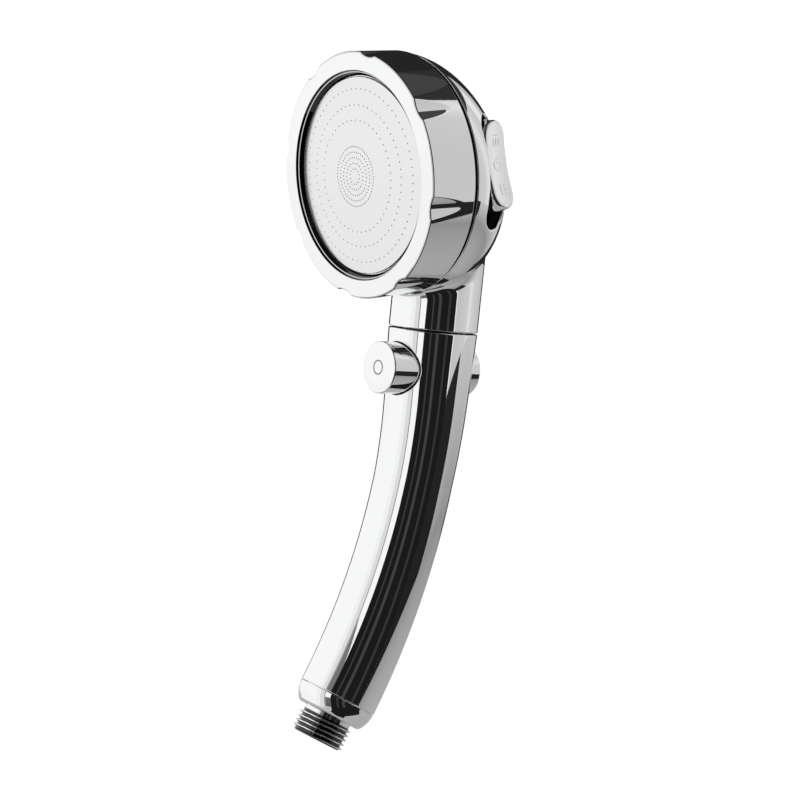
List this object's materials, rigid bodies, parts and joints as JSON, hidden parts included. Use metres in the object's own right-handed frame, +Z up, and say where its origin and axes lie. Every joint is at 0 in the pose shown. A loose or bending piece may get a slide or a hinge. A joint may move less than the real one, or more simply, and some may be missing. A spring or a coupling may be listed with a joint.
{
  "type": "handheld shower head",
  "caption": "Chrome handheld shower head with a curved round handle, a push stop valve, a swivelling round head, a side mode rocker and a screw-on perforated spray face.",
  "frame": {"origin": "centre of the handle's lower end, at the seam with the end collar, where a wall holder grips the handle", "axes": "+Z up with the shower head held upright in its wall holder, -Y the way the spray leaves, +X to the right of the spray face seen from behind the handle"},
  "size_m": [0.09, 0.0954, 0.2628],
  "materials": {
    "chrome_plate": "polished",
    "stainless_steel": "satin",
    "white_acetal": "satin",
    "black_plastic": "satin",
    "brass": "satin",
    "black_rubber": "matte"
  },
  "bodies": {
    "handle": {"handle_shell": "chrome_plate", "end_collar": "chrome_plate", "inlet_nipple": "chrome_plate", "inlet_screen": "stainless_steel", "flow_regulator": "white_acetal", "regulator_seal": "black_rubber", "water_tube": "white_acetal", "tube_seal_lower": "black_rubber", "tube_seal_upper": "black_rubber", "valve_body": "black_plastic", "swivel_clip": "stainless_steel"},
    "stop_button": {"stop_spool": "brass", "off_button": "chrome_plate", "on_button": "chrome_plate", "spool_seal_1": "black_rubber", "spool_seal_2": "black_rubber", "spool_seal_3": "black_rubber"},
    "head": {"rear_housing": "chrome_plate", "swivel_spigot": "white_acetal", "inlet_elbow": "white_acetal", "diverter_body": "white_acetal", "rocker_cradle": "black_plastic", "detent_leaf": "stainless_steel", "flow_manifold": "white_acetal", "spray_distributor": "white_acetal", "rocker_pin": "stainless_steel", "distributor_screw_1": "stainless_steel", "distributor_screw_2": "stainless_steel", "distributor_screw_3": "stainless_steel", "distributor_screw_4": "stainless_steel", "swivel_seal_upper": "black_rubber", "swivel_seal_lower": "black_rubber", "bezel_seal": "black_rubber"},
    "mode_rocker": {"mode_rocker": "chrome_plate"},
    "diverter": {"diverter_shuttle": "brass", "shuttle_seal_upper": "black_rubber", "shuttle_seal_lower": "black_rubber"},
    "spray_face": {"spray_faceplate": "stainless_steel", "faceplate_gasket": "black_rubber"},
    "front_bezel": {"front_bezel": "chrome_plate"}
  },
  "joints": [
    {"name": "neck_swivel", "type": "hinge", "parent": "handle", "child": "head", "pos_m": [0, 0.05344, 0.1365], "axis": [0, 0.1736, 0.9848], "continuous": true},
    {"name": "stop_button_slide", "type": "slide", "parent": "handle", "child": "stop_button", "axis": [0, 0.9848, -0.1736], "range_m": [0, 0.0066]},
    {"name": "mode_rocker_tilt", "type": "hinge", "parent": "head", "child": "mode_rocker", "pos_m": [0.03263, 0.05157, 0.1992], "axis": [-0.1908, 0.9816, 0], "range_deg": [0, 19]},
    {"name": "diverter_slide", "type": "slide", "parent": "head", "child": "diverter", "axis": [0, 0, 1], "range_m": [0, 0.0041]},
    {"name": "spray_face_lift", "type": "slide", "parent": "head", "child": "spray_face", "axis": [0, -1, 0], "range_m": [0, 0.0031]},
    {"name": "bezel_unscrew", "type": "hinge", "parent": "spray_face", "child": "front_bezel", "pos_m": [0, 0.01894, 0.1976], "axis": [0, -1, 0], "range_deg": [0, 360]}
  ],
  "couplings": [
    {"joint": "diverter_slide", "follows": "mode_rocker_tilt", "m_per_rad": 0.012},
    {"joint": "spray_face_lift", "follows": "bezel_unscrew", "m_per_rad": 0.00047746}
  ]
}
